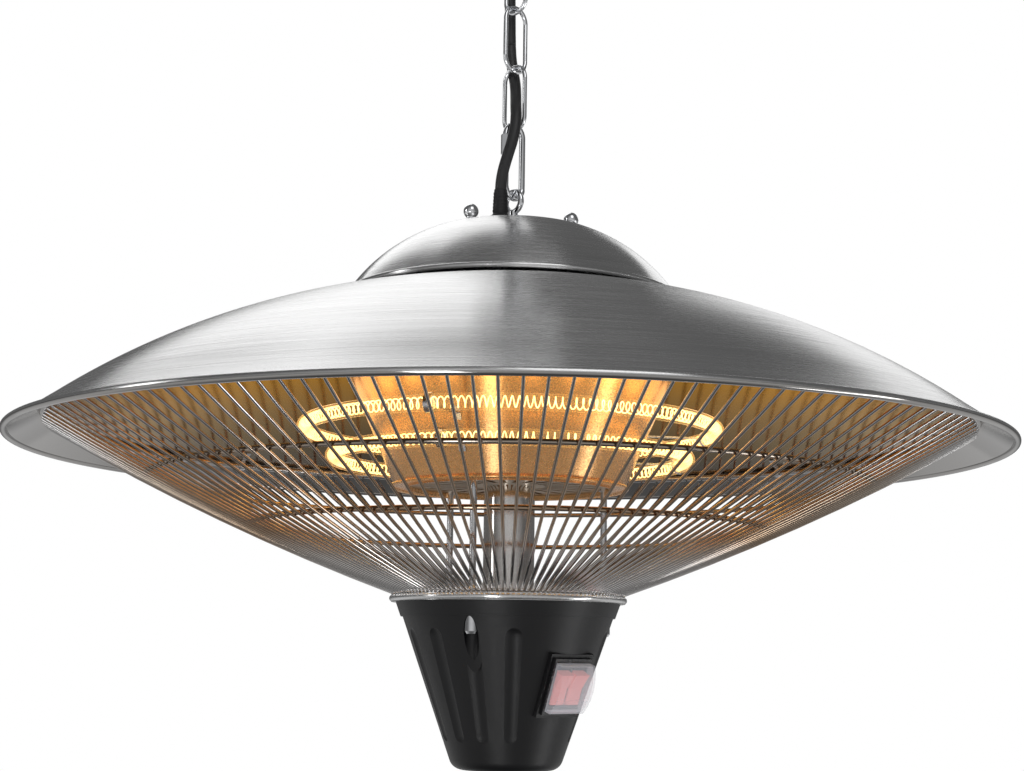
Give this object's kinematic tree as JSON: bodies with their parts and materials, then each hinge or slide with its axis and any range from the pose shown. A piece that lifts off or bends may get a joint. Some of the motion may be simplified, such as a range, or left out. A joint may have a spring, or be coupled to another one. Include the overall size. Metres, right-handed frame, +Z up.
{
  "type": "hanging electric patio heater",
  "caption": "Chain-hung electric patio heater: a domed steel hat and cap over ring-shaped quartz elements, a bowed wire grille and a tapered housing with capped rocker switches.",
  "frame": {"origin": "middle of the ceiling plate's top face, where it meets the ceiling", "axes": "+Z up along the chain and column, -Y towards the picture's viewer, +X to the viewer's right"},
  "size_m": [0.6, 0.6, 0.5365],
  "materials": {
    "zinc": "zinc plated",
    "rubber": "black rubber",
    "chrome": "polished chrome",
    "stainless": "brushed stainless steel",
    "gold": "polished reflector sheet",
    "dark_steel": "heat stained sheet",
    "quartz": "quartz glass",
    "coil": "glowing resistance wire",
    "ceramic": "glazed ceramic",
    "wire": "chromed steel wire",
    "black_plastic": "black moulded plastic",
    "red_plastic": "red switch plastic",
    "clear_plastic": "clear flexible plastic"
  },
  "bodies": {
    "ceiling": {"ceiling_plate": "zinc", "ceiling_hook": "zinc", "hook_nut": "zinc", "cord_grommet": "rubber"},
    "chain": {"chain_link_1": "zinc", "chain_link_2": "zinc", "chain_link_3": "zinc", "screw_link": "zinc", "screw_link_nut": "zinc", "cord_upper": "rubber", "cord_lower": "rubber"},
    "heater": {"cord_tail": "rubber", "eye_bolt": "chrome", "eye_bolt_nuts": "zinc", "strain_relief": "rubber", "strain_relief_nut": "rubber", "cap": "stainless", "cap_studs": "zinc", "cap_spacers": "zinc", "ball_nuts": "chrome", "terminal_block": "ceramic", "hat": "stainless", "reflector": "gold", "reflector_ring": "gold", "vent_plate": "dark_steel", "upper_tube": "quartz", "lower_tube": "quartz", "upper_coil": "coil", "lower_coil": "coil", "end_caps": "ceramic", "lead_pins": "zinc", "tube_clips": "zinc", "grille_wires": "wire", "grille_cross_rings": "wire", "grille_outer_ring": "wire", "grille_collar": "stainless", "grille_clips": "zinc", "centre_tube": "stainless", "column_plug": "black_plastic", "inner_cable": "rubber", "support_rods": "zinc", "rod_nuts": "zinc", "cap_nuts": "chrome", "housing": "black_plastic", "housing_lid": "black_plastic", "thermal_cutout": "zinc", "switch_body": "black_plastic", "switch_frame": "black_plastic", "switch_cover": "clear_plastic"},
    "left_rocker": {"rocker_left": "red_plastic"},
    "right_rocker": {"rocker_right": "red_plastic"}
  },
  "joints": [
    {"name": "chain_swing", "type": "hinge", "parent": "ceiling", "child": "chain", "pos_m": [0, 0, -0.0265], "axis": [0.7071, 0.7071, 0], "range_deg": [-20, 20], "deforming": ["cord_upper"]},
    {"name": "heater_tilt", "type": "hinge", "parent": "chain", "child": "heater", "pos_m": [0, 0, -0.1864], "axis": [0.7071, 0.7071, 0], "range_deg": [-15, 15], "deforming": ["cord_lower"]},
    {"name": "left_switch", "type": "hinge", "parent": "heater", "child": "left_rocker", "pos_m": [0.02826, -0.03925, -0.48596], "axis": [-0.7314, -0.682, 0], "range_deg": [0, 18]},
    {"name": "right_switch", "type": "hinge", "parent": "heater", "child": "right_rocker", "pos_m": [0.03718, -0.03093, -0.48596], "axis": [-0.7314, -0.682, 0], "range_deg": [0, 18]}
  ]
}
